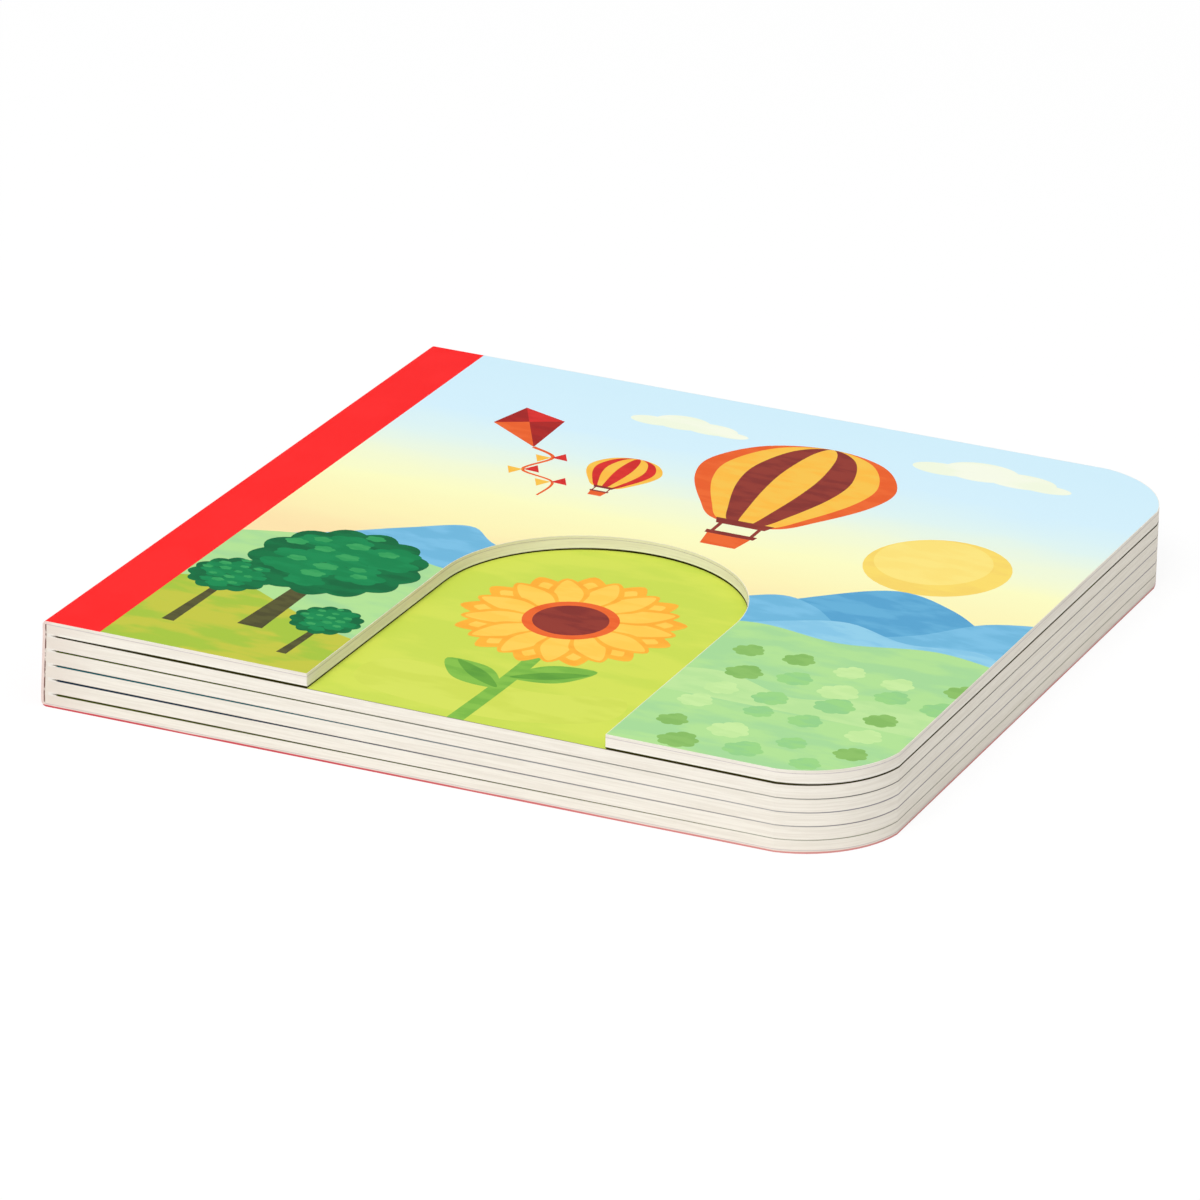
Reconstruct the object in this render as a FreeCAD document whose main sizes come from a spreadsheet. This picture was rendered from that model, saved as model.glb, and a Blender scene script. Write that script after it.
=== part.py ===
import FreeCAD, Part
import os
import Sketcher

# Board book, closed, lying on its back cover.
# +X runs from the spine to the fore-edge, +Y from the tail to the head, +Z up.
# The origin is the centre of the underside. Sizes are in millimetres.

driving_sizes = [
    ("book_width", 150.6, "back of the spine, where it stands out most, to the fore-edge"),
    ("book_height", 150.0, "tail to head, along the spine"),
    ("board_thick", 2.38, "one cover or leaf, with its printed paper"),
    ("wrap_thick", 0.5, "printed card that wraps front, spine and back"),
    ("spine_lean", 0.5, "how far in the spine's front crease lies from its back crease"),
    ("front_fold_inside", 0.25, "inside radius of the wrap where it turns the spine's front edge"),
    ("back_fold_inside", 0.55, "inside radius of the wrap where it turns the spine's back edge"),
    ("gutter_gap", 0.29, "gap between two boards beside the gutter"),
    ("fore_gap", 0.03, "the same gap at the fore-edge, where the leaves close up"),
    ("cover_fore_gap", 0.24, "gap under the front board at the fore-edge, where it stays open"),
    ("gutter_depth", 2.0, "back of the spine to the closed end of each gap"),
    ("crimp_run", 0.85, "length over which a gap opens from nothing"),
    ("corner_radius", 19.0, "rounding knife at the two fore-edge corners"),
    ("corner_overcut", 0.3, "how far the knife runs past the edges that it rounds"),
    ("arch_left", 50.4, "back of the spine to the window's near leg"),
    ("arch_width", 54.6, "window between its legs, and so its round head across"),
    ("arch_spring", 52.8, "tail edge to the centre of the window's round head"),
    ("knife_margin", 2.0, "how far a cutting outline reaches past the book's edge"),
]
leaf_count = 4  # page leaves between the two cover boards

doc = FreeCAD.newDocument("board_book")
sheet = doc.addObject("Spreadsheet::Sheet", "Sizes")
for row, (alias, value, note) in enumerate(driving_sizes, start=1):
    sheet.set(f"A{row}", note)
    sheet.set(f"B{row}", str(value))
    sheet.setAlias(f"B{row}", alias)
doc.recompute()

# Places along the width and the height, as expressions on the sheet
spine_x = "-Sizes.book_width / 2"
fore_x = "Sizes.book_width / 2"
tail_y = "-Sizes.book_height / 2"
head_y = "Sizes.book_height / 2"
wrap_x = f"{spine_x} + Sizes.wrap_thick"
fold_x = f"{wrap_x} + Sizes.back_fold_inside"
front_spine_x = f"{spine_x} + Sizes.spine_lean"
front_wrap_x = f"{front_spine_x} + Sizes.wrap_thick"
front_fold_x = f"{front_wrap_x} + Sizes.front_fold_inside"
gutter_x = f"{spine_x} + Sizes.gutter_depth"
crimp_x = f"{gutter_x} + Sizes.crimp_run"
arch_left_x = f"{spine_x} + Sizes.arch_left"
arch_right_x = f"{arch_left_x} + Sizes.arch_width"
arch_middle_x = f"{arch_left_x} + Sizes.arch_width / 2"
arch_spring_y = f"{tail_y} + Sizes.arch_spring"
below_tail_y = f"{tail_y} - Sizes.knife_margin"

# The rounding knife's centre, and where its arc meets the edges, both in from the corner
knife_inset = "Sizes.corner_radius - Sizes.corner_overcut"
knife_chord = "sqrt(2 * Sizes.corner_radius * Sizes.corner_overcut - Sizes.corner_overcut ^ 2)"
knife_start = f"{knife_inset} - {knife_chord}"


def gutter_level(boards, gaps):
    """Height beside the gutter, above so many boards and gaps."""
    return f"{boards} * Sizes.board_thick + {gaps} * Sizes.gutter_gap"


def fore_level(boards, gaps):
    """Height at the fore-edge, above so many boards and gaps."""
    return f"{boards} * Sizes.board_thick + {gaps} * Sizes.fore_gap"


# Heights: the covers crease level with the middle of the first and the last gap
back_crease_z = gutter_level(1, 0.5)
front_crease_z = gutter_level(leaf_count + 1, leaf_count + 0.5)
top_spine_z = gutter_level(leaf_count + 2, leaf_count + 1)
front_under_fore_z = f"{fore_level(leaf_count + 1, leaf_count)} + Sizes.cover_fore_gap"
top_fore_z = f"{front_under_fore_z} + Sizes.board_thick"
front_fold_z = f"{top_spine_z} - Sizes.wrap_thick - Sizes.front_fold_inside"
back_fold_z = "Sizes.wrap_thick + Sizes.back_fold_inside"


def amount(expression):
    """The number that an expression on the sheet comes to."""
    return float(sheet.evalExpression(expression))


def new_body(label):
    body = doc.addObject("PartDesign::Body", label)
    body.Label = label
    return body


def new_sketch(body, name, plane_role):
    sketch = body.newObject("Sketcher::SketchObject", f"{body.Label}_{name}")
    plane = next(item for item in body.Origin.OriginFeatures if item.Role == plane_role)
    sketch.AttachmentSupport = [(plane, "")]
    sketch.MapMode = "FlatFace"
    return sketch


def bind(sketch, direction, geometry, point, expression):
    """Hold one coordinate of a sketch point at an expression on the sheet."""
    held = Sketcher.Constraint(direction, -1, 1, geometry, point, amount(expression))
    index = sketch.addConstraint(held)
    sketch.setExpression(f"Constraints[{index}]", expression)


def draw_outline(sketch, corners, arcs):
    """A closed outline through the corners, all bound to the sheet.

    The edge that leaves a corner is a line, or an arc where arcs gives that corner's
    number: its centre, and whether it turns left or right.
    """
    edges = []
    for number, corner in enumerate(corners):
        start = FreeCAD.Vector(*map(amount, corner))
        end = FreeCAD.Vector(*map(amount, corners[(number + 1) % len(corners)]))
        if number in arcs:
            centre, turn = arcs[number]
            middle = FreeCAD.Vector(*map(amount, centre))
            circle = Part.Circle(middle, FreeCAD.Vector(0, 0, 1), middle.distanceToPoint(start))
            first, last = (start, end) if turn == "left" else (end, start)
            shape = Part.ArcOfCircle(circle, circle.parameter(first), circle.parameter(last))
            ends = (1, 2) if turn == "left" else (2, 1)
        else:
            shape = Part.LineSegment(start, end)
            ends = (1, 2)
        edges.append((sketch.addGeometry(shape, False), *ends))
    for number, (edge, start_point, end_point) in enumerate(edges):
        next_edge, next_start, _ = edges[(number + 1) % len(edges)]
        sketch.addConstraint(Sketcher.Constraint("Coincident", edge, end_point, next_edge, next_start))
        bind(sketch, "DistanceX", edge, start_point, corners[number][0])
        bind(sketch, "DistanceY", edge, start_point, corners[number][1])
        if number in arcs:
            bind(sketch, "DistanceY", edge, 3, arcs[number][0][1])


def pad_section(body, corners, arcs):
    """The section, seen from the tail, run through the whole height of the book."""
    sketch = new_sketch(body, "section", "XZ_Plane")
    draw_outline(sketch, corners, arcs)
    pad = body.newObject("PartDesign::Pad", f"{body.Label}_pad")
    pad.Profile = sketch
    pad.SideType = "Symmetric"
    pad.setExpression("Length", "Sizes.book_height")


def cut_through(body, name, sketch):
    pocket = body.newObject("PartDesign::Pocket", f"{body.Label}_{name}")
    pocket.Profile = sketch
    pocket.SideType = "Symmetric"
    pocket.Type = "ThroughAll"


def round_corners(body):
    """Cut both fore-edge corners with the rounding knife."""
    sketch = new_sketch(body, "corner_outline", "XY_Plane")
    arc_start_x = f"{fore_x} - ({knife_start})"
    centre_x = f"{fore_x} - ({knife_inset})"
    outside_x = f"{fore_x} + Sizes.knife_margin"
    for edge_y, inward, turn in ((tail_y, "+", "right"), (head_y, "-", "left")):
        outward = "-" if inward == "+" else "+"
        outside_y = f"{edge_y} {outward} Sizes.knife_margin"
        arc_end_y = f"{edge_y} {inward} ({knife_start})"
        centre_y = f"{edge_y} {inward} ({knife_inset})"
        corners = [
            (arc_start_x, edge_y),
            (arc_start_x, outside_y),
            (outside_x, outside_y),
            (outside_x, arc_end_y),
            (fore_x, arc_end_y),
        ]
        draw_outline(sketch, corners, {4: ((centre_x, centre_y), turn)})
    cut_through(body, "rounded_corners", sketch)


def cut_window(body):
    """Die-cut the arched window, open at the tail edge."""
    sketch = new_sketch(body, "window_outline", "XY_Plane")
    corners = [
        (arch_left_x, below_tail_y),
        (arch_right_x, below_tail_y),
        (arch_right_x, arch_spring_y),
        (arch_left_x, arch_spring_y),
    ]
    draw_outline(sketch, corners, {2: ((arch_middle_x, arch_spring_y), "left")})
    cut_through(body, "window", sketch)


def make_page_block():
    """Four leaves joined at the gutter: a comb whose gaps close up towards the fore-edge."""
    corners = [(wrap_x, back_crease_z), (gutter_x, back_crease_z)]
    for leaf in range(1, leaf_count + 1):
        corners += [
            (crimp_x, gutter_level(leaf, leaf)),
            (fore_x, fore_level(leaf, leaf)),
            (fore_x, fore_level(leaf + 1, leaf)),
            (crimp_x, gutter_level(leaf + 1, leaf)),
            (gutter_x, gutter_level(leaf + 1, leaf + 0.5)),
        ]
    corners.append((front_wrap_x, front_crease_z))
    body = new_body("page_block")
    pad_section(body, corners, {})
    round_corners(body)
    return body


def make_spine_strip():
    """The wrap's flat part, glued over the back of the page block from crease to crease."""
    corners = [
        (spine_x, back_crease_z),
        (wrap_x, back_crease_z),
        (front_wrap_x, front_crease_z),
        (front_spine_x, front_crease_z),
    ]
    body = new_body("spine_strip")
    pad_section(body, corners, {})
    return body


def make_front_board():
    """The board under the front wrap. Its foot seats on the page block beside the spine."""
    corners = [
        (front_wrap_x, front_crease_z),
        (gutter_x, front_crease_z),
        (crimp_x, gutter_level(leaf_count + 1, leaf_count + 1)),
        (fore_x, front_under_fore_z),
        (fore_x, f"{top_fore_z} - Sizes.wrap_thick"),
        (front_fold_x, f"{top_spine_z} - Sizes.wrap_thick"),
        (front_wrap_x, front_fold_z),
    ]
    body = new_body("front_board")
    pad_section(body, corners, {5: ((front_fold_x, front_fold_z), "left")})
    round_corners(body)
    cut_window(body)
    return body


def make_front_wrap():
    """The wrap's front panel and the turn that it makes over the spine's edge."""
    corners = [
        (front_spine_x, front_crease_z),
        (front_wrap_x, front_crease_z),
        (front_wrap_x, front_fold_z),
        (front_fold_x, f"{top_spine_z} - Sizes.wrap_thick"),
        (fore_x, f"{top_fore_z} - Sizes.wrap_thick"),
        (fore_x, top_fore_z),
        (front_fold_x, top_spine_z),
        (front_spine_x, front_fold_z),
    ]
    fold_centre = (front_fold_x, front_fold_z)
    body = new_body("front_wrap")
    pad_section(body, corners, {2: (fold_centre, "right"), 6: (fold_centre, "left")})
    round_corners(body)
    cut_window(body)
    return body


def make_back_board():
    """The board inside the back wrap. Its top is flat under the lowest gap."""
    corners = [
        (fold_x, "Sizes.wrap_thick"),
        (fore_x, "Sizes.wrap_thick"),
        (fore_x, "Sizes.board_thick"),
        (crimp_x, "Sizes.board_thick"),
        (gutter_x, back_crease_z),
        (wrap_x, back_crease_z),
        (wrap_x, back_fold_z),
    ]
    body = new_body("back_board")
    pad_section(body, corners, {6: ((fold_x, back_fold_z), "left")})
    round_corners(body)
    return body


def make_back_wrap():
    """The wrap's back panel, on which the book lies, and its turn up the spine."""
    corners = [
        (fold_x, "0"),
        (fore_x, "0"),
        (fore_x, "Sizes.wrap_thick"),
        (fold_x, "Sizes.wrap_thick"),
        (wrap_x, back_fold_z),
        (wrap_x, back_crease_z),
        (spine_x, back_crease_z),
        (spine_x, back_fold_z),
    ]
    fold_centre = (fold_x, back_fold_z)
    body = new_body("back_wrap")
    pad_section(body, corners, {3: (fold_centre, "right"), 7: (fold_centre, "left")})
    round_corners(body)
    return body


parts = [
    make_page_block(),
    make_spine_strip(),
    make_front_board(),
    make_front_wrap(),
    make_back_board(),
    make_back_wrap(),
]
doc.recompute()

for item in doc.Objects:
    if "Invalid" in item.State or "Error" in item.State:
        raise RuntimeError(f"{item.Label} did not compute: {item.State}")
for part in parts:
    if part.Shape.isNull() or not part.Shape.isValid():
        raise RuntimeError(f"{part.Label} has no valid shape")

os.makedirs("parts", exist_ok=True)
for part in parts:
    part.Shape.exportStep(f"parts/{part.Label}.step")
    print(f"{part.Label}: {part.Shape.Volume:.1f} mm3, {len(part.Shape.Faces)} faces")
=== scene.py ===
import math
import random

import bmesh
import bpy
from mathutils import Matrix, Vector
from mathutils.geometry import delaunay_2d_cdt


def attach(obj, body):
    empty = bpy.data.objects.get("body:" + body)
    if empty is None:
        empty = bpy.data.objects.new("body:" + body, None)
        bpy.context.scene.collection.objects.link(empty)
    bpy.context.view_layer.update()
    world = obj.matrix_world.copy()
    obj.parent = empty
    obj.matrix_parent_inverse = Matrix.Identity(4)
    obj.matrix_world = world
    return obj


# Board book with an arched window in its front board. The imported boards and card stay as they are
# and get their finishes here. The printed pictures are thin films of ink laid on them, drawn in
# millimetres: across from the spine face, and up from the tail edge.

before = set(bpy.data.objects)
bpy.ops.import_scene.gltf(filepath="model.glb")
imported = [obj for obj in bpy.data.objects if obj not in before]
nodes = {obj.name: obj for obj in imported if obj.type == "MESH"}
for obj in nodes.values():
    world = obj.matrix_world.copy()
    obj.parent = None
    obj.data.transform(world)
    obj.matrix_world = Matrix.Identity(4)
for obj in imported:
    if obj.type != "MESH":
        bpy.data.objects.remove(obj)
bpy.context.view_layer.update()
mm = 0.001
scene = bpy.context.scene
scene.view_settings.view_transform = "Standard"
print("frame loaded:", len(nodes), "nodes")

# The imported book's own lengths, in mm
book = {
    "width": 150.6, "height": 150.0, "topAtSpine": 15.73, "topAtFore": 14.64,
    "boards": 6, "board": 2.38, "wrap": 0.5,
    "gutterGap": 0.29, "foreGap": 0.03,  # between two pages, beside the gutter and at the fore-edge
    "gutterEnd": 2.85, "foldEnd": 1.25,  # across, where the gaps begin and where the card's fold ends
    "spineLean": 0.5, "backCrease": 2.525, "frontCrease": 13.205,
}


def acrossToX(across):
    return (across - book["width"] / 2) * mm


perBoard = (book["board"] + book["gutterGap"]) * mm  # a board and its gap beside the gutter
gapFall = (book["gutterGap"] - book["foreGap"]) / (book["width"] - book["gutterEnd"])  # a gap closes
topFall = (book["topAtSpine"] - book["topAtFore"]) / (book["width"] - book["foldEnd"])  # and the top slopes
gutterX = acrossToX(book["gutterEnd"])


def hexToLinear(hexValue):
    # sRGB hex to the linear colour that Blender's sockets take
    values = [int(hexValue[i:i + 2], 16) / 255 for i in (1, 3, 5)]
    return [v / 12.92 if v <= 0.04045 else ((v + 0.055) / 1.055) ** 2.4 for v in values] + [1.0]


def feed(tree, node, inputs):
    # Inputs go by name or in order. A node or a socket is linked, and a hex colour made linear
    used = [socket for socket in node.inputs if socket.enabled]
    for place, value in inputs.items() if isinstance(inputs, dict) else enumerate(inputs):
        socket = node.inputs[place] if isinstance(place, str) else used[place]
        if isinstance(value, bpy.types.Node):
            value = next(output for output in value.outputs if output.enabled)
        if isinstance(value, bpy.types.NodeSocket):
            tree.links.new(value, socket)
        else:
            socket.default_value = hexToLinear(value) if isinstance(value, str) else value


def addNode(tree, kind, inputs=(), stops=(), **settings):
    # One node with its settings, what feeds it, and a ramp's stops of place and hex colour
    node = tree.nodes.new(kind)
    for key, value in settings.items():
        setattr(node, key, value)
    feed(tree, node, inputs)
    if stops:
        elements = node.color_ramp.elements
        while len(elements) < len(stops):
            elements.new(0.5)
        for element, (place, hexValue) in zip(elements, stops):
            element.position = place
            element.color = hexToLinear(hexValue)
    return node


def startMaterial(name, look):
    material = bpy.data.materials.new(name)
    material.use_nodes = True
    tree = material.node_tree
    shader = tree.nodes["Principled BSDF"]
    feed(tree, shader, {"Roughness": look["roughness"], "Specular IOR Level": look["specular"]})
    return material, tree, shader


def span(value, ends, start=0.0):
    # A value with the two mm, counted from start, between which a mark goes from none to full
    return value, start + ends[0] * mm, start + ends[1] * mm


def overlap(tree, *limits):
    # How far all limits hold. Each is a share, or a value with where it is none and where full
    share = None
    for limit in limits:
        if isinstance(limit, tuple):
            limit = addNode(tree, "ShaderNodeMapRange", limit, interpolation_type="SMOOTHSTEP")
        if share is None:
            share = limit
        else:
            share = addNode(tree, "ShaderNodeMath", [share, limit], operation="MULTIPLY")
    return share


def layTint(tree, colour, tint, *limits):
    # A tint over a colour, as far as all limits hold
    return addNode(tree, "ShaderNodeMix", [overlap(tree, *limits), colour, tint], data_type="RGBA")


# Offset ink under a matt film: even colour with soft brush clouding, and hardly any gloss
inkLook = {
    "roughness": 0.5, "specular": 0.03,
    "stroke": 2.6,  # how much longer than wide a brushed patch is
    "strokeTurn": 0.5,  # radians
    "detail": 3.0,
    "patches": (0.42, 0.60),  # clouding at which the other colour starts, and is full
    "waver": 0.06,  # how far the clouding bends a wash, as a share of the page
    "grain": 0.5,  # mm, paper grain, drawn coarser than the real one so that it shows
    "grainDepth": 0.004,  # mm
    "grainShare": 0.5,
}


def offsetInk(name, tints, cloud, wash=False):
    # cloud is the mm across one brushed patch, and a wash runs through its tints up the page
    material, tree, shader = startMaterial(name, inkLook)
    place = addNode(tree, "ShaderNodeTexCoord").outputs["Object"]
    turned = addNode(tree, "ShaderNodeMapping", {"Vector": place, "Rotation": (0, 0, inkLook["strokeTurn"]),
                                                 "Scale": (1, inkLook["stroke"], 1)})
    clouding = addNode(tree, "ShaderNodeTexNoise", {"Vector": turned, "Detail": inkLook["detail"],
                                                    "Scale": 1 / (cloud * mm)})
    if wash:
        x, y, z = addNode(tree, "ShaderNodeSeparateXYZ", [place]).outputs
        up = addNode(tree, "ShaderNodeMapRange", [y, -book["height"] / 2 * mm, book["height"] / 2 * mm])
        wavy = addNode(tree, "ShaderNodeMath", [clouding, inkLook["waver"], up], operation="MULTIPLY_ADD")
        colour = addNode(tree, "ShaderNodeValToRGB", [wavy], tints)
    else:
        colour = layTint(tree, tints[0], tints[1], (clouding, *inkLook["patches"]))
    grain = addNode(tree, "ShaderNodeTexNoise", {"Vector": place, "Scale": 1 / (inkLook["grain"] * mm)})
    relief = addNode(tree, "ShaderNodeBump", {"Height": grain, "Strength": inkLook["grainShare"],
                                              "Distance": inkLook["grainDepth"] * mm})
    feed(tree, shader, {"Base Color": colour, "Normal": relief})
    return material


# Bleached pulp board, cut by a guillotine and a die: matt, cream, with long faint plies along the cut
boardLook = {
    "roughness": 0.9, "specular": 0.1,
    "pale": "#F9F3E7", "shade": "#F0E9DC", "plyShade": (0.38, 0.64),
    "ply": 10.0,  # mm along the cut
    "layers": 30.0,  # how much finer the plies are through the board
    "plyDetail": 5.0, "plyRoughness": 0.65,
    "plyDepth": 0.014,  # mm
    "plyShare": 0.6,
}

# Marks on the cut edges. Each pair is where a mark is none and where it is full, in mm: "across" from
# the gutter, "along" from the book's middle and "away" from the mark's own line
edgeMarks = {
    "gutterShade": {"tint": "#EBE0D4", "across": (11.0, -2.0), "share": 0.85},
    "glueLine": {"tint": "#C9BDBF", "away": (0.20, 0.04), "share": 0.8},
    # the knife's burr along the front board's underside, made pale by a painted highlight
    "burrHighlight": {"tint": "#FDFAEE", "away": (0.55, 0.30), "across": (0.3, 1.2), "share": 0.7},
    # painted shade of the front gap: a dark band along the front board's underside
    "frontGapShade": {"foreTint": "#57402F", "away": (0.17, 0.09), "foreLoss": 0.8},
    "widening": (1.0, 22.0),  # across, where the front gap's line grows to its full breadth
    "foreFacing": (0.1, 0.9),
    # a painted highlight where the paper is pressed together at each gap's end
    "pinchHighlight": {"tint": "#F1EBE2", "across": (0.25, -0.15), "end": (-1.7, -1.3), "away": (0.42, 0.20)},
    # glue and painted shadow, as dark blots, where the spine card meets the boards
    "spineGlueAndShadow": {"tint": "#6E433C", "away": (0.34, 0.12), "blot": 1.0, "blots": (0.32, 0.50)},
}

# The page gaps, counted from below
gapLook = {
    "inks": ["#6A6A00", "#1A3E5A", "#12808A", "#6C7A12", "#4A4700"],  # on the faces inside them
    "lines": ["#A09C88", "#7D767C", "#88818B", "#514F45", "#5A4A3A"],  # how they look toward the fore-edge
    "line": (0.11, 0.033),  # ink and crushed paper at the edge of each page's face, with painted shade of the gap
    "begin": (0.0, 0.6),
    "inner": {"along": (-50.0, 18.0), "tailShare": 0.5},
    "front": {"share": 0.9, "foreLoss": 0.5},
    "low": {"gaps": (5.0, 1.3), "along": (0.0, -50.0), "share": 0.8},
    "faces": {"flat": (0.7, 0.8), "across": (-0.1, 0.3)},
    "narrow": {"tint": "#CBC9CC", "along": (-36.0, 12.0), "share": 0.75},  # too narrow to show their ink
}


def readSurface(tree):
    # Where a point of the piece lies, and which way the piece faces there
    coords = addNode(tree, "ShaderNodeTexCoord")
    parts = addNode(tree, "ShaderNodeSeparateXYZ", [coords.outputs["Object"]]).outputs
    facing = addNode(tree, "ShaderNodeSeparateXYZ", [coords.outputs["Normal"]]).outputs
    return coords.outputs["Object"], parts, facing


def plies(tree, place, depth):
    stretched = addNode(tree, "ShaderNodeMapping", {"Vector": place, "Scale": (1, 1, boardLook["layers"])})
    grain = addNode(tree, "ShaderNodeTexNoise", {"Vector": stretched, "Detail": boardLook["plyDetail"],
                    "Roughness": boardLook["plyRoughness"], "Scale": 1 / (boardLook["ply"] * mm)})
    relief = addNode(tree, "ShaderNodeBump", {"Height": grain, "Strength": boardLook["plyShare"],
                                              "Distance": depth * mm})
    return grain, relief


def gapTint(tree, gap, tints):
    # One colour a gap, changing halfway between two gaps
    share = addNode(tree, "ShaderNodeMath", [gap, 1 / book["boards"]], operation="MULTIPLY")
    stops = [(0.0, tints[0])] + [((i + 0.5) / book["boards"], tint) for i, tint in enumerate(tints[1:], 1)]
    ramp = addNode(tree, "ShaderNodeValToRGB", [share], stops)
    ramp.color_ramp.interpolation = "CONSTANT"
    return ramp


def glueBurrAndGapShade(tree, colour, x, z, toFore, widening, glueSide):
    # The card's glue shows as a faint grey line in the cut; at the top, a painted highlight and painted shade
    # follow
    atTop = glueSide == "top"
    fall, height = (topFall, book["topAtSpine"] - book["wrap"]) if atTop else (0.0, book["wrap"])
    line = (height - fall * (book["width"] / 2 - book["foldEnd"])) * mm
    rise = addNode(tree, "ShaderNodeMath", [x, fall, z], operation="MULTIPLY_ADD")
    offLine = addNode(tree, "ShaderNodeMath", [rise, line], operation="SUBTRACT")
    away = addNode(tree, "ShaderNodeMath", [offLine], operation="ABSOLUTE")
    mark = edgeMarks["glueLine"]
    colour = layTint(tree, colour, mark["tint"], span(away, mark["away"]), mark["share"])
    if atTop:  # the knife's burr, pale as a painted highlight, over the front gap's painted shade along the board's underside
        underside = line + (book["wrap"] - book["board"]) * mm
        above = addNode(tree, "ShaderNodeMath", [rise, underside], operation="SUBTRACT")
        mark = edgeMarks["burrHighlight"]
        colour = layTint(tree, colour, mark["tint"], span(above, mark["away"]),
                         span(x, mark["across"], gutterX), mark["share"])
        # painted shade of the front gap, growing away from the gutter and weaker on faces toward the
        # fore-edge
        mark = edgeMarks["frontGapShade"]
        fading = addNode(tree, "ShaderNodeMath", [toFore, -mark["foreLoss"], 1.0], operation="MULTIPLY_ADD")
        dark = layTint(tree, gapLook["inks"][-1], mark["foreTint"], toFore)
        colour = layTint(tree, colour, dark, span(above, mark["away"]), widening, fading)
    return colour


def gapMarks(tree, colour, x, z, facingZ, toFore, widening):
    # pitch is a board and its gap, and gap is 1 in the lowest gap and 5 in the front one
    pitch = addNode(tree, "ShaderNodeMath", [x, -gapFall, perBoard + gapFall * gutterX],
                    operation="MULTIPLY_ADD")
    halfGap = addNode(tree, "ShaderNodeMath", [pitch, 0.5, -book["board"] / 2 * mm], operation="MULTIPLY_ADD")
    raised = addNode(tree, "ShaderNodeMath", [z, halfGap], operation="ADD")
    gap = addNode(tree, "ShaderNodeMath", [raised, pitch], operation="DIVIDE")
    offGap = addNode(tree, "ShaderNodeMath", [gap, 0.5], operation="PINGPONG")
    fromGap = addNode(tree, "ShaderNodeMath", [offGap, pitch], operation="MULTIPLY")
    beyond = addNode(tree, "ShaderNodeMath", [fromGap, halfGap], operation="SUBTRACT")
    belowFront = book["boards"] - 1.5
    inFront = addNode(tree, "ShaderNodeMath", [gap, belowFront], operation="GREATER_THAN")
    notFront = addNode(tree, "ShaderNodeMath", [gap, belowFront], operation="LESS_THAN")
    gapInk = gapTint(tree, gap, gapLook["inks"])

    # a line of ink and painted shade beside each gap: strongest at the front gap, and near the spine at the
    # low ones
    # the painted shade stands for the dark gap, and how strong it is follows which way the face turns
    look = gapLook["inner"]
    inward = overlap(tree, span(x, look["along"]))
    turned = addNode(tree, "ShaderNodeMath", [toFore, 1 - look["tailShare"], look["tailShare"]],
                     operation="MULTIPLY_ADD")
    inner = overlap(tree, inward, turned)
    look = gapLook["front"]
    fading = addNode(tree, "ShaderNodeMath", [toFore, -look["foreLoss"], look["share"]],
                     operation="MULTIPLY_ADD")
    front = overlap(tree, inFront, fading, widening)
    look = gapLook["low"]
    low = overlap(tree, (gap, *look["gaps"]), span(x, look["along"]), look["share"])
    share = addNode(tree, "ShaderNodeMath", [inner, front], operation="MAXIMUM")
    share = addNode(tree, "ShaderNodeMath", [share, low], operation="MAXIMUM")
    lineTint = layTint(tree, gapInk, gapTint(tree, gap, gapLook["lines"]), inward)
    colour = layTint(tree, colour, lineTint, span(beyond, gapLook["line"]),
                     span(x, gapLook["begin"], gutterX), share)

    # painted highlight on the paper pressed together with glue at each gap's end
    mark = edgeMarks["pinchHighlight"]
    colour = layTint(tree, colour, mark["tint"], span(x, mark["across"], gutterX),
                     span(x, mark["end"], gutterX), span(fromGap, mark["away"]))

    # printed paper on the faces inside the gaps
    look = gapLook["narrow"]
    gapInk = layTint(tree, gapInk, look["tint"], span(x, look["along"]), notFront, look["share"])
    look = gapLook["faces"]
    flat = addNode(tree, "ShaderNodeMath", [facingZ], operation="ABSOLUTE")
    return layTint(tree, colour, gapInk, (flat, *look["flat"]), span(x, look["across"], gutterX))


def spineGlueAndShadow(tree, colour, place, x, z):
    # Glue and painted shadow, as dark blots, where the leaning spine card meets the boards
    mark = edgeMarks["spineGlueAndShadow"]
    lean = addNode(tree, "ShaderNodeMapRange", {"Value": z, "From Min": book["backCrease"] * mm,
                   "From Max": book["frontCrease"] * mm, "To Max": book["spineLean"] * mm})
    upright = addNode(tree, "ShaderNodeMath", [x, lean], operation="SUBTRACT")
    blots = addNode(tree, "ShaderNodeTexNoise", {"Vector": place, "Scale": 1 / (mark["blot"] * mm)})
    return layTint(tree, colour, mark["tint"], span(upright, mark["away"], acrossToX(book["wrap"])),
                   (blots, *mark["blots"]))


def cutBoard(name, glueSide=None):
    # glueSide is the side with the card glued on, "top" or "bottom"
    material, tree, shader = startMaterial(name, boardLook)
    place, (x, y, z), (facingX, facingY, facingZ) = readSurface(tree)
    toFore = overlap(tree, (facingX, *edgeMarks["foreFacing"]))
    widening = overlap(tree, span(x, edgeMarks["widening"], gutterX))
    grain, relief = plies(tree, place, boardLook["plyDepth"])
    colour = layTint(tree, boardLook["pale"], boardLook["shade"], (grain, *boardLook["plyShade"]))
    mark = edgeMarks["gutterShade"]
    colour = layTint(tree, colour, mark["tint"], span(x, mark["across"], gutterX), mark["share"])
    if glueSide:
        colour = glueBurrAndGapShade(tree, colour, x, z, toFore, widening, glueSide)
    colour = gapMarks(tree, colour, x, z, facingZ, toFore, widening)
    colour = spineGlueAndShadow(tree, colour, place, x, z)
    feed(tree, shader, {"Base Color": colour, "Normal": relief})
    return material


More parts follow.
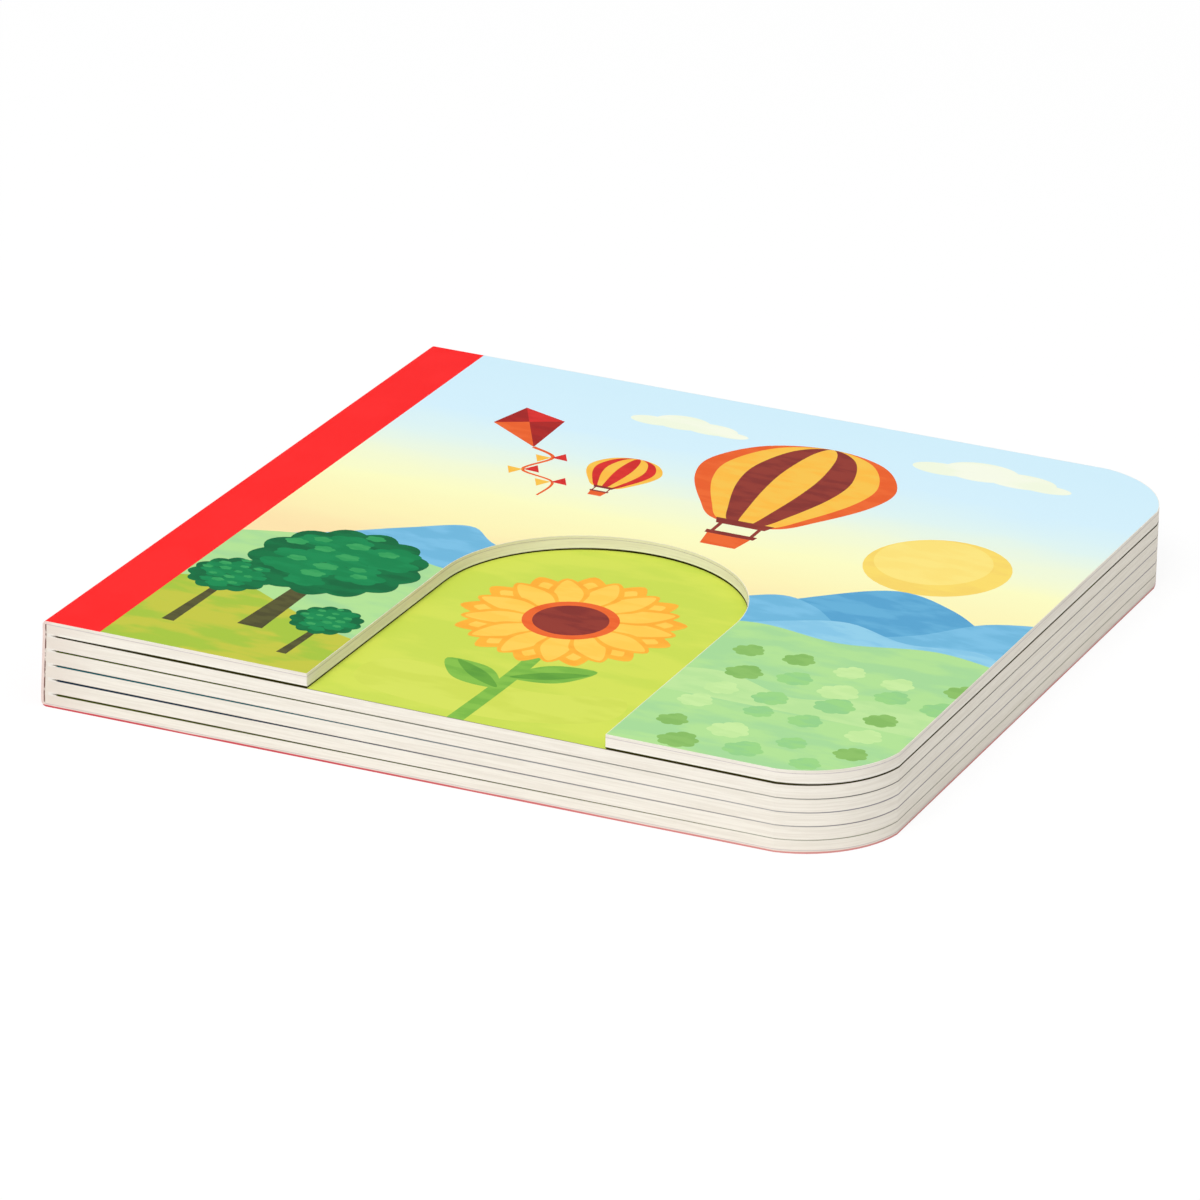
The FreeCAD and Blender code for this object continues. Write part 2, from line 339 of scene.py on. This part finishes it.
# Printed cover card under a matt film: plain red outside, white card where it is cut
cardLook = {
    "roughness": 0.5, "specular": 0.03,
    "card": "#F5EFE2", "cardShade": "#ECE5D7", "plyShade": (0.40, 0.65),
    "plyDepth": 0.0042,  # mm
    "atSpine": {"tint": "#EED8D0", "across": (-0.2, -1.4)},
    "red": "#FF2627", "otherRed": "#FD2324",
    "patch": 12.0, "patches": (0.4, 0.6),  # mm across one patch of the other red
    "outerFacing": (0.2, 0.3), "cutFacing": (0.8, 0.7),  # where the print begins and the cut ends
    "strip": 11.5,  # mm, the red down the front beside the spine
    "stripEdge": (0.02, -0.02),
}

# Red ink dragged over the lowest cut edge by the knife, in mm
bleedLook = {
    "soft": {"tint": "#E9C3B8", "up": (0.55, 0.10)},
    "sharp": {"tint": "#D24552", "up": (0.42, 0.26)},
    "wave": 16.0, "waveHeight": 0.30,
    "along": (-20.0, 60.0), "shares": (0.95, 0.55),  # it fades toward the fore-edge
}


def knifeBleed(tree, colour, place, x, z):
    mark = bleedLook["soft"]
    colour = layTint(tree, colour, mark["tint"], span(z, mark["up"]))
    waves = addNode(tree, "ShaderNodeTexNoise", {"Vector": place, "Scale": 1 / (bleedLook["wave"] * mm)})
    high = addNode(tree, "ShaderNodeMath", [waves, -bleedLook["waveHeight"] * mm,
                   bleedLook["waveHeight"] / 2 * mm], operation="MULTIPLY_ADD")
    ragged = addNode(tree, "ShaderNodeMath", [z, high], operation="ADD")
    fading = addNode(tree, "ShaderNodeMapRange", [*span(x, bleedLook["along"]), *bleedLook["shares"]])
    mark = bleedLook["sharp"]
    return layTint(tree, colour, mark["tint"], span(ragged, mark["up"]), fading)


def coverCard(name, outside):
    # outside is 1 where the printed side faces up, -1 where it faces down and 0 down the spine
    material, tree, shader = startMaterial(name, cardLook)
    place, (x, y, z), (facingX, facingY, facingZ) = readSurface(tree)
    grain, relief = plies(tree, place, cardLook["plyDepth"])
    card = layTint(tree, cardLook["card"], cardLook["cardShade"], (grain, *cardLook["plyShade"]))
    mark = cardLook["atSpine"]
    card = layTint(tree, card, mark["tint"], span(x, mark["across"], gutterX))
    if outside < 0:
        card = knifeBleed(tree, card, place, x, z)
    upward = addNode(tree, "ShaderNodeMath", [facingZ, outside], operation="MULTIPLY")
    backward = addNode(tree, "ShaderNodeMath", [facingX, -1.0], operation="MULTIPLY")
    outward = addNode(tree, "ShaderNodeMath", [upward, backward], operation="MAXIMUM")
    sideways = addNode(tree, "ShaderNodeMath", [facingY], operation="ABSOLUTE")
    printed = [(outward, *cardLook["outerFacing"]), (sideways, *cardLook["cutFacing"])]
    if outside > 0:
        printed.append(span(x, cardLook["stripEdge"], acrossToX(cardLook["strip"])))
    clouding = addNode(tree, "ShaderNodeTexNoise", {"Vector": place, "Scale": 1 / (cardLook["patch"] * mm)})
    red = layTint(tree, cardLook["red"], cardLook["otherRed"], (clouding, *cardLook["patches"]))
    feed(tree, shader, {"Base Color": layTint(tree, card, red, *printed), "Normal": relief})
    return material


finishes = {
    "page_block": cutBoard("bleachedPulpBoardPages"),
    "front_board": cutBoard("bleachedPulpBoardFront", "top"),
    "back_board": cutBoard("bleachedPulpBoardBack", "bottom"),
    "front_wrap": coverCard("laminatedCardFront", 1),
    "back_wrap": coverCard("laminatedCardBack", -1),
    "spine_strip": coverCard("laminatedCardSpine", 0),
}
for nodeName, finish in finishes.items():
    materials = nodes[nodeName].data.materials
    materials.clear()
    materials.append(finish)
print("board and card finishes:", len(finishes))

# Each ink's name as a finish, its two colours and the mm across one brushed patch
inkTints = {
    "cloud": ("CloudCream", "#F8FCE9", "#F3FAE2", 16),
    "sun": ("SunYellow", "#FBDD6C", "#F8D76A", 9),
    "sunLight": ("SunLight", "#FDE681", "#FCE27A", 9),
    "farHill": ("HillBlue", "#6FB6DB", "#7CC0E4", 10),
    "deepHill": ("DeepBlue", "#58A3CF", "#66B0D8", 10),
    "nearHill": ("PaleBlue", "#93CFEA", "#86C6E6", 8),
    "field": ("FieldGreen", "#B2E195", "#A6D998", 15),
    "fieldLight": ("LightGreen", "#BFE69D", "#B7E299", 9),
    "bush": ("BushGreen", "#8DC067", "#86BA62", 6),
    "bushSoft": ("BushSoft", "#9BD585", "#95D08A", 6),
    "bushPale": ("BushPale", "#C9ECA2", "#C2E89D", 6),
    "olive": ("Olive", "#C3C644", "#A6C440", 13),
    "leafDark": ("LeafDark", "#06663A", "#087341", 7),
    "leafMid": ("LeafMid", "#0A824A", "#128A50", 6),
    "leafLight": ("LeafLight", "#2F9C58", "#3AA45E", 5),
    "trunk": ("Trunk", "#57562F", "#4C4A2A", 5),
    "orange": ("Orange", "#EE6A30", "#E96029", 8),
    "amber": ("Amber", "#FAC54E", "#FCBD45", 8),
    "maroon": ("Maroon", "#93392F", "#84302B", 7),
    "red": ("Red", "#DC302C", "#CF2A28", 7),
    "darkRed": ("DarkRed", "#AC231F", "#A01F1E", 7),
    "meadow": ("Meadow", "#D3E05A", "#CADC55", 20),
    "meadowLight": ("MeadowLight", "#D5E15E", "#CFDC57", 14),
    "soil": ("DeepOlive", "#4D480C", "#433E09", 12),
    "hedge": ("HedgeGreen", "#64710A", "#59660A", 9),
    "hedgeLight": ("HedgeLight", "#77952F", "#6A8A2B", 9),
    "petal": ("Petal", "#FED05A", "#FFCB52", 8),
    "petalShade": ("PetalShade", "#FDB63C", "#FBAE38", 8),
    "stem": ("Stem", "#86BF4B", "#79B545", 7),
    "stemShade": ("StemShade", "#66A53D", "#5D9C3A", 7),
}
# The sky's colours by how far up they lie: 0 at the tail edge, 1 at the head edge
skyWash = [(0.0, "#FBE0AA"), (0.42, "#FCE3AC"), (0.52, "#FDF5B9"), (0.61, "#FCFCC4"), (0.70, "#F0F9DC"),
           (0.77, "#E0F5F2"), (0.85, "#D5F1FD"), (1.0, "#D2F0FD")]
inks = {ink: offsetInk("offsetInk" + label, (main, other), patch)
        for ink, (label, main, other, patch) in inkTints.items()}
inks["sky"] = offsetInk("offsetInkSkyWash", skyWash, 26, wash=True)
print("inks mixed:", len(inks))


# Outlines of printed shapes, each a closed ring of (across, up) in mm
def ring(u, v, wide, tall=None, turn=0.0, count=40):
    tall = tall or wide
    points = [(wide * math.cos(a), tall * math.sin(a))
              for a in (2 * math.pi * i / count for i in range(count))]
    return [(u + p * math.cos(turn) - q * math.sin(turn), v + p * math.sin(turn) + q * math.cos(turn))
            for p, q in points]


def puff(u, v, wide, tall, lobes, depth=0.13, turn=0.0):
    # A rounded, scalloped shape such as foliage or a cloud
    outline = []
    for i in range(lobes * 7):
        a = 2 * math.pi * i / (lobes * 7)
        reach = 1 - depth * (1 - abs(math.sin(lobes * a / 2)))
        outline.append((u + wide * reach * math.cos(a + turn), v + tall * reach * math.sin(a + turn)))
    return outline


def smooth(points, closed=True, steps=7):
    # A smooth line through a few points
    count = len(points)
    spans = range(count if closed else count - 1)
    line = []
    for i in spans:
        p0, p1, p2, p3 = (Vector(points[j % count] if closed else points[min(max(j, 0), count - 1)])
                          for j in (i - 1, i, i + 1, i + 2))
        for s in range(steps):
            t = s / steps
            line.append(0.5 * (2 * p1 + (p2 - p0) * t + (2 * p0 - 5 * p1 + 4 * p2 - p3) * t * t
                               + (3 * p1 - p0 - 3 * p2 + p3) * t * t * t))
    if not closed:
        line.append(Vector(points[-1]))
    return [tuple(p) for p in line]


def land(tops, foot=-4.0):
    # Ground with a smooth skyline, down to foot
    line = smooth(tops, closed=False)
    return line + [(line[-1][0], foot), (line[0][0], foot)]


def strand(points, startWidth, endWidth):
    # A line with body, such as a stem or a ribbon
    line = [Vector(p) for p in smooth(points, closed=False)]
    left, right = [], []
    for i, p in enumerate(line):
        along = (line[min(i + 1, len(line) - 1)] - line[max(i - 1, 0)]).normalized()
        half = (startWidth + (endWidth - startWidth) * i / (len(line) - 1)) / 2
        side = Vector((-along.y, along.x)) * half
        left.append(tuple(p + side))
        right.append(tuple(p - side))
    return left + right[::-1]


def leaf(u, v, turn, length, wide):
    shape = [(0, 0), (0.3, 0.42), (0.62, 0.46), (1, 0), (0.62, -0.46), (0.3, -0.42)]
    c, s = math.cos(turn), math.sin(turn)
    return smooth([(u + length * p * c - wide * q * s, v + length * p * s + wide * q * c) for p, q in shape],
                  steps=5)


# Motifs, each a list of (ink, outline) from the lowest to the topmost
def sunflower(u, v, size, petals=13, turn=0.1):
    shapes = []
    for back in (True, False):
        for i in range(petals):
            a = turn + 2 * math.pi * (i + 0.5 * back) / petals
            reach = size * (1.0 if back else 0.92)
            foot = (u + 0.3 * size * math.cos(a), v + 0.3 * size * math.sin(a))
            shapes.append(("petalShade", leaf(*foot, a, reach * 0.7, reach * 0.40)))
            shapes.append(("petal", leaf(*foot, a, reach * (0.58 if back else 0.66), reach * 0.28)))
    return shapes + [("orange", ring(u, v, size * 0.42)), ("maroon", ring(u, v, size * 0.33))]


def stalk(points, width, leaves):
    shapes = [("stem", strand(points, width, width * 1.3))]
    for u, v, turn, length in leaves:
        shapes += [("stem", leaf(u, v, turn, length, length * 0.5)),
                   ("stemShade", leaf(u, v, turn - 0.09, length * 0.9, length * 0.2))]
    return shapes


def airBalloon(u, v, size, colours):
    # colours run from the outer gores to the middle one
    side = [(0.62, 0.80), (0.97, 0.28), (0.93, -0.22), (0.62, -0.80), (0.30, -1.18)]
    gore = [(0, 1.0)] + side + [(-p, q) for p, q in side[::-1]]
    shapes = []
    for colour, share in zip(colours, (1.0, 0.80, 0.52, 0.20)):
        shapes.append((colour, smooth([(u + p * share * size, v + q * size) for p, q in gore])))
    # mouth, two ropes, basket and its rim, as left, right, top, foot and how much the foot is drawn in
    for colour, left, right, top, foot, taper in (
            ("maroon", -0.30, 0.30, -1.13, -1.26, 0.05), ("maroon", -0.22, -0.18, -1.26, -1.50, 0),
            ("maroon", 0.18, 0.22, -1.26, -1.50, 0), ("orange", -0.23, 0.23, -1.48, -1.80, 0.05),
            ("maroon", -0.26, 0.26, -1.45, -1.53, 0.01)):
        corners = [(left, top), (right, top), (right - taper, foot), (left + taper, foot)]
        shapes.append((colour, [(u + p * size, v + q * size) for p, q in corners]))
    return shapes


def roundTree(u, v, size, foot, seed):
    rng = random.Random(seed)
    trunk = [(u - 0.5, foot), (u, (foot + v) / 2), (u + 0.4, v)]
    shapes = [("trunk", strand(trunk, size * 0.30, size * 0.16)),
              ("leafDark", puff(u, v, size, size * 0.96, 13, 0.10, 0.2))]
    for colour, count, patch, lift in (("leafMid", 17, 0.27, 0.05), ("leafLight", 12, 0.13, 0.16)):
        for i in range(count):
            reach = 0.68 * math.sqrt((i + 0.5) / count) * size
            a = 2.4 * i + rng.random() * 0.5
            wide = size * patch * rng.uniform(0.8, 1.2)
            shapes.append((colour, puff(u + reach * math.cos(a) - lift * 0.6 * size,
                                        v + reach * math.sin(a) + lift * size,
                                        wide, wide * 0.62, 5, 0.2, rng.random() * 3)))
    return shapes


def bush(u, v, size, tone="bush", turn=0.3):
    return [(tone, puff(u, v, size, size * 0.8, 7, 0.16, turn)),
            (tone, puff(u + size * 0.1, v + size * 0.5, size * 0.6, size * 0.5, 5, 0.16, turn))]


def thicket(left, right, low, high, step, seed):
    # Rows of bushes in three tones
    rng = random.Random(seed)
    shapes = []
    rows = int((high - low) / step)
    for row in range(rows, -1, -1):
        u = left + rng.uniform(0, step)
        while u < right:
            shapes += bush(u, low + row * step + rng.uniform(-1.2, 1.2), rng.uniform(0.36, 0.5) * step,
                           rng.choice(["bush", "bushSoft", "bush", "bushPale", "bushSoft"]), rng.random() * 3)
            u += step * rng.uniform(1.1, 1.5)
    return shapes


def cloudBank(u, v, size):
    return [("cloud", ring(u + p * size, v + q * size, wide * size, tall * size))
            for p, q, wide, tall in ((-0.52, 0.0, 0.34, 0.16), (-0.12, 0.10, 0.42, 0.26),
                                     (0.34, 0.04, 0.40, 0.20), (0.66, -0.04, 0.28, 0.11))]


def kite(u, v, size, turn):
    c, s = math.cos(turn), math.sin(turn)

    def spot(p, q):
        return u + size * (p * c - q * s), v + size * (p * s + q * c)

    top, middle, foot = spot(0, 0.9), spot(0, 0.1), spot(0, -1.3)
    left, right = spot(-0.72, 0.1), spot(0.72, 0.1)
    tail = [foot, spot(0.35, -1.9), spot(-0.3, -2.5), spot(0.25, -3.2), spot(-0.1, -3.9)]
    shapes = [("orange", strand(tail, size * 0.09, size * 0.05))]
    for p, q in ((0.32, -1.9), (-0.28, -2.5), (0.22, -3.2)):
        for ink, tip in (("amber", p - 0.30), ("red", p + 0.30)):  # two bows a knot
            shapes.append((ink, [spot(p, q), spot(tip, q + 0.20), spot(tip, q - 0.20)]))
    return shapes + [("red", [top, right, middle]), ("darkRed", [middle, right, foot]),
                     ("darkRed", [top, middle, left]), ("orange", [left, middle, foot])]


def hedgerow(count, blossoms, clear, seed):
    # Leaves and blossoms scattered over a dark ground, clear of one box
    rng = random.Random(seed)
    left, right, top = clear
    shapes = []
    while len(shapes) < 2 * count:
        p, q = rng.uniform(6, 144), rng.uniform(6, 144)
        if not (left < p < right and q < top):
            way = rng.random() * 6.3
            shapes += [("hedge", leaf(p, q, way, 15, 7)), ("hedgeLight", leaf(p, q, way + 0.05, 12, 3))]
    for p, q, size in blossoms:
        shapes += sunflower(p, q, size, turn=p)
    return shapes


# Films of ink, in mm
filmLook = {
    "coverRim": 0.11, "pageRim": 0.02,  # bare card left all round a picture
    "coverFilm": 0.02,  # ink and laminate on the cover
    "pageFilm": 0.01,  # on the pages, which lie 0.04 mm apart at the fore-edge
}


def printedFace(nodeName, facing, heights, fromAcross, rimWidth):
    # A board's face as the CAD has it, less its bare rim: its outline and its plane. The face looks
    # up (1) or down (-1) and lies between the two heights
    bm = bmesh.new()
    bm.from_mesh(nodes[nodeName].data)
    bmesh.ops.remove_doubles(bm, verts=bm.verts, dist=1e-6)
    away = [f for f in bm.faces if f.normal.z * facing < 0.99
            or not heights[0] * mm < f.calc_center_median().z < heights[1] * mm]
    bmesh.ops.delete(bm, geom=away, context="FACES")
    bmesh.ops.dissolve_faces(bm, faces=bm.faces)
    rim = bmesh.ops.inset_region(bm, faces=bm.faces[:], thickness=rimWidth * mm,
                                 use_even_offset=True, use_boundary=True)
    bmesh.ops.delete(bm, geom=rim["faces"], context="FACES")
    bmesh.ops.bisect_plane(bm, geom=bm.verts[:] + bm.edges[:] + bm.faces[:],
                           plane_co=(acrossToX(fromAcross), 0, 0), plane_no=(1, 0, 0), clear_inner=True)
    bm.faces.ensure_lookup_table()
    face = max(bm.faces, key=lambda f: f.calc_area())
    found = [v.co.copy() for v in face.verts], face.normal.copy()
    bm.free()
    return found


def layPicture(name, face, thick, ground, shapes, body):
    outline, normal = face
    half = Vector((book["width"] / 2, book["height"] / 2))
    rings = [[Vector((p.x, p.y)) / mm for p in outline]] + [[Vector(p) - half for p in s] for _, s in shapes]
    points, loops = [], []
    for one in rings:  # each runs anticlockwise
        area = sum(a.x * b.y - b.x * a.y for a, b in zip(one, one[1:] + one[:1]))
        one = one if area > 0 else one[::-1]
        loops.append(list(range(len(points), len(points) + len(one))))
        points += one
    flat, _, triangles, _, _, sources = delaunay_2d_cdt(points, [], loops, 1, 1e-3, True)
    used = [ground] + [ink for ink, _ in shapes]
    palette = sorted(set(used))
    bm = bmesh.new()
    lifted = []
    for p in flat:
        x, y = p.x * mm, p.y * mm
        z = outline[0].z - (normal.x * (x - outline[0].x) + normal.y * (y - outline[0].y)) / normal.z
        lifted.append(bm.verts.new(Vector((x, y, z)) + normal * thick * mm))
    for triangle, inside in zip(triangles, sources):
        if 0 in inside:  # the topmost shape that covers it gives its ink
            corners = triangle if normal.z > 0 else triangle[::-1]
            bm.faces.new([lifted[i] for i in corners]).material_index = palette.index(used[max(inside)])
    bmesh.ops.delete(bm, geom=[v for v in bm.verts if not v.link_faces], context="VERTS")
    mesh = bpy.data.meshes.new(name)
    bm.to_mesh(mesh)
    bm.free()
    for ink in palette:
        mesh.materials.append(inks[ink])
    picture = bpy.data.objects.new(name, mesh)
    scene.collection.objects.link(picture)
    film = picture.modifiers.new("film", "SOLIDIFY")
    film.thickness = thick * mm
    film.offset = -1.0
    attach(picture, body)
    print(name, len(mesh.polygons), "faces")


# Front cover: balloons and a kite over hills. Each thing starts with how far across and up it is, and
# its size. Lands are skylines, and may end at a foot of their own
frontPicture = {
    "heights": (14.5, 15.8),  # mm, between which the printed face lies
    "clouds": [(118, 136, 17), (60, 134, 13)],
    "sun": (126, 92, 13.0),
    "lands": [
        ("deepHill", [(100, 56), (112, 70), (124, 79), (136, 75), (147, 66), (154, 64)]),
        ("farHill", [(6, 50), (22, 56), (36, 66), (46, 72), (54, 66), (70, 60)]),
        ("farHill", [(96, 60), (106, 68), (114, 66), (124, 58), (134, 62), (143, 72), (154, 76)]),
        ("nearHill", [(100, 50), (112, 58), (122, 62), (134, 58), (146, 60), (154, 56)]),
        ("field", [(6, 50), (20, 55), (36, 57), (52, 52), (90, 50), (108, 55), (124, 53), (140, 57),
                   (154, 54)]),
        ("fieldLight", [(100, 30), (112, 33), (126, 28), (140, 33), (154, 30)], 22),
        ("olive", [(6, 27), (20, 31), (33, 25), (44, 19), (56, 15)]),
    ],
    "thicket": (110, 152, 4, 46, 7.6, 8),  # left, right, low, high, step and seed
    "trees": [(33, 46, 16.0, 14, 5), (19.5, 33, 8.0, 10, 9), (43, 22, 6.5, 6, 3)],  # with foot and seed
    "kite": (34, 122, 9.0, 0.5),
    "balloons": [(88, 117, 18.5, ["orange", "amber", "maroon", "amber"]),
                 (59, 108, 7.0, ["amber", "red", "amber", "red"])],
}
shapes = [shape for cloud in frontPicture["clouds"] for shape in cloudBank(*cloud)]
u, v, size = frontPicture["sun"]
shapes += [("sun", ring(u, v, size)), ("sunLight", ring(u - size * 0.12, v + size * 0.16, size * 0.8))]
shapes += [(ink, land(*skyline)) for ink, *skyline in frontPicture["lands"]]
shapes += thicket(*frontPicture["thicket"])
for tree in frontPicture["trees"]:
    shapes += roundTree(*tree)
shapes += kite(*frontPicture["kite"])
for balloon in frontPicture["balloons"]:
    shapes += airBalloon(*balloon)
frontFace = printedFace("front_wrap", 1, frontPicture["heights"], cardLook["strip"], filmLook["coverRim"])
layPicture("front_picture", frontFace, filmLook["coverFilm"], "sky", shapes, "front_cover")

# First page: a sunny meadow fills an arch behind the window, with a dark hedge round it that carries
# on inside the front cover
firstPage = {
    "heights": (11.9, 13.3),
    "window": (50.4, 105.0, 52.8, 27.3),  # left, right, where the arch springs, and its radius
    "hedgeOff": 13,  # kept clear of the window
    "meadowLight": [(54, 12), (60, 19), (84, 16), (99, 20), (100, 10), (84, 3), (60, 5)],
    "flower": (77, 47, 20.0, 0.1),  # across, up, size and turn
    "leaves": 90, "seed": 4,
    "blossoms": [(24, 112, 7.0), (130, 118, 8.0), (126, 40, 7.5), (24, 40, 8.0), (78, 128, 6.0)],
}
left, right, spring, radius = firstPage["window"]
off = firstPage["hedgeOff"]
clear = (left - off, right + off, spring + radius + off)
shapes = hedgerow(firstPage["leaves"], firstPage["blossoms"], clear, firstPage["seed"])
arch = [((left + right) / 2 + radius * math.cos(a), spring + radius * math.sin(a))
        for a in (math.pi * i / 48 for i in range(49))]
shapes.append(("meadow", arch + [(left, -4), (right, -4)]))
shapes.append(("meadowLight", smooth(firstPage["meadowLight"])))
u, v, size, turn = firstPage["flower"]
shapes += stalk([(u, v), (u + 1.5, v - size * 1.1), (u + 0.5, v - size * 2.6)], size * 0.12,
                [(u + 1.2, v - size * 1.35, 0.6, size * 0.75), (u + 1.2, v - size * 1.6, 2.6, size * 0.75)])
shapes += sunflower(u, v, size, turn=turn)
firstFace = printedFace("page_block", 1, firstPage["heights"], book["gutterEnd"], filmLook["pageRim"])
layPicture("first_page_picture", firstFace, filmLook["pageFilm"], "soil", shapes, "pages")

insideFront = {
    "heights": (12.0, 13.4), "leaves": 130, "seed": 7,
    "blossoms": [(30, 118, 8.0), (118, 126, 7.0), (28, 30, 7.0), (124, 60, 9.0), (76, 108, 6.0)],
}
shapes = hedgerow(insideFront["leaves"], insideFront["blossoms"], (0, 0, 0), insideFront["seed"])
insideFace = printedFace("front_board", -1, insideFront["heights"], book["gutterEnd"], filmLook["pageRim"])
layPicture("inside_front_picture", insideFace, filmLook["pageFilm"], "soil", shapes, "front_cover")

# Last spread: rows of bushes on the last page and inside the back cover
lastSpread = {
    "thicket": (6, 146, 10, 138, 15), "seeds": (11, 12),
    "pageHeights": (2.4, 2.7), "coverHeights": (2.3, 2.5),
}
lastFace = printedFace("page_block", -1, lastSpread["pageHeights"], book["gutterEnd"], filmLook["pageRim"])
layPicture("last_page_picture", lastFace, filmLook["pageFilm"], "hedge",
           thicket(*lastSpread["thicket"], lastSpread["seeds"][0]), "pages")
backFace = printedFace("back_board", 1, lastSpread["coverHeights"], book["gutterEnd"], filmLook["pageRim"])
layPicture("inside_back_picture", backFace, filmLook["pageFilm"], "hedge",
           thicket(*lastSpread["thicket"], lastSpread["seeds"][1]), "back_cover")
print("pictures laid")

# Floor, light and camera
studio = {
    "horizon": 0.18, "zenith": 0.91,  # light from all round, stronger from above
    "key": 19.0,  # W, a large soft lamp from the front
    "keyPlace": (-0.05, -1.23, 1.58), "keySize": 1.1,
    "floor": "#F2F2F2", "floorHalf": 6.0,
    "floorWhite": 0.84, "whiteStrength": 1.03,  # share of plain white that the camera sees in the floor
    "azimuth": 24.297, "elevation": 22.255, "roll": 0.908,
    "cameraPlace": (0.47334, -1.06075, 0.48099),
    "lens": 216.31, "sensor": 36.0, "clip": (0.05, 20.0),
}


def seenDirectly(tree):
    # 1 for what the camera sees, also in a reflection or through glass
    path = addNode(tree, "ShaderNodeLightPath").outputs
    seen = addNode(tree, "ShaderNodeMath", [path["Is Camera Ray"], path["Is Glossy Ray"]],
                   operation="MAXIMUM")
    return addNode(tree, "ShaderNodeMath", [seen, path["Is Transmission Ray"]], operation="MAXIMUM")


world = bpy.data.worlds.new("studioWorld")
world.use_nodes = True
scene.world = world
tree = world.node_tree
direction = addNode(tree, "ShaderNodeTexCoord").outputs["Generated"]
parts = addNode(tree, "ShaderNodeSeparateXYZ", [direction])
ambient = addNode(tree, "ShaderNodeMapRange", {"Value": parts.outputs["Z"], "To Min": studio["horizon"],
                                               "To Max": studio["zenith"]})
strength = addNode(tree, "ShaderNodeMix", [seenDirectly(tree), ambient, 1.0])
feed(tree, tree.nodes["Background"], {"Color": "#FFFFFF", "Strength": strength})

floorMesh = bpy.data.meshes.new("floor")
bm = bmesh.new()
bmesh.ops.create_grid(bm, x_segments=1, y_segments=1, size=studio["floorHalf"])
bm.to_mesh(floorMesh)
bm.free()
floor = bpy.data.objects.new("floor", floorMesh)
scene.collection.objects.link(floor)
material = bpy.data.materials.new("paintedFloor")
material.use_nodes = True
tree = material.node_tree
tree.nodes.remove(tree.nodes["Principled BSDF"])
matt = addNode(tree, "ShaderNodeBsdfDiffuse", {"Color": studio["floor"]})
white = addNode(tree, "ShaderNodeEmission", {"Color": "#FFFFFF", "Strength": studio["whiteStrength"]})
share = overlap(tree, seenDirectly(tree), studio["floorWhite"])
mixed = addNode(tree, "ShaderNodeMixShader", [share, matt, white])
feed(tree, tree.nodes["Material Output"], {"Surface": mixed})
floorMesh.materials.append(material)

lamp = bpy.data.lights.new("keyLamp", "AREA")
lamp.shape = "SQUARE"
lamp.size = studio["keySize"]
lamp.energy = studio["key"]
key = bpy.data.objects.new("keyLamp", lamp)
key.location = studio["keyPlace"]
key.rotation_euler = (-Vector(studio["keyPlace"])).to_track_quat("-Z", "Y").to_euler()
scene.collection.objects.link(key)

azimuth, elevation, roll = (math.radians(studio[angle]) for angle in ("azimuth", "elevation", "roll"))
back = Vector((math.sin(azimuth) * math.cos(elevation), -math.cos(azimuth) * math.cos(elevation),
               math.sin(elevation)))
right = (-back).cross(Vector((0, 0, 1))).normalized()
up = right.cross(-back)
rightTurned = right * math.cos(roll) + up * math.sin(roll)
upTurned = up * math.cos(roll) - right * math.sin(roll)
turned = Matrix((rightTurned, upTurned, back)).transposed().to_4x4()
lens = bpy.data.cameras.new("camera")
lens.sensor_width = studio["sensor"]
lens.lens = studio["lens"]
lens.clip_start, lens.clip_end = studio["clip"]
camera = bpy.data.objects.new("camera", lens)
camera.matrix_world = Matrix.Translation(studio["cameraPlace"]) @ turned
scene.collection.objects.link(camera)
scene.camera = camera
print("studio ready")
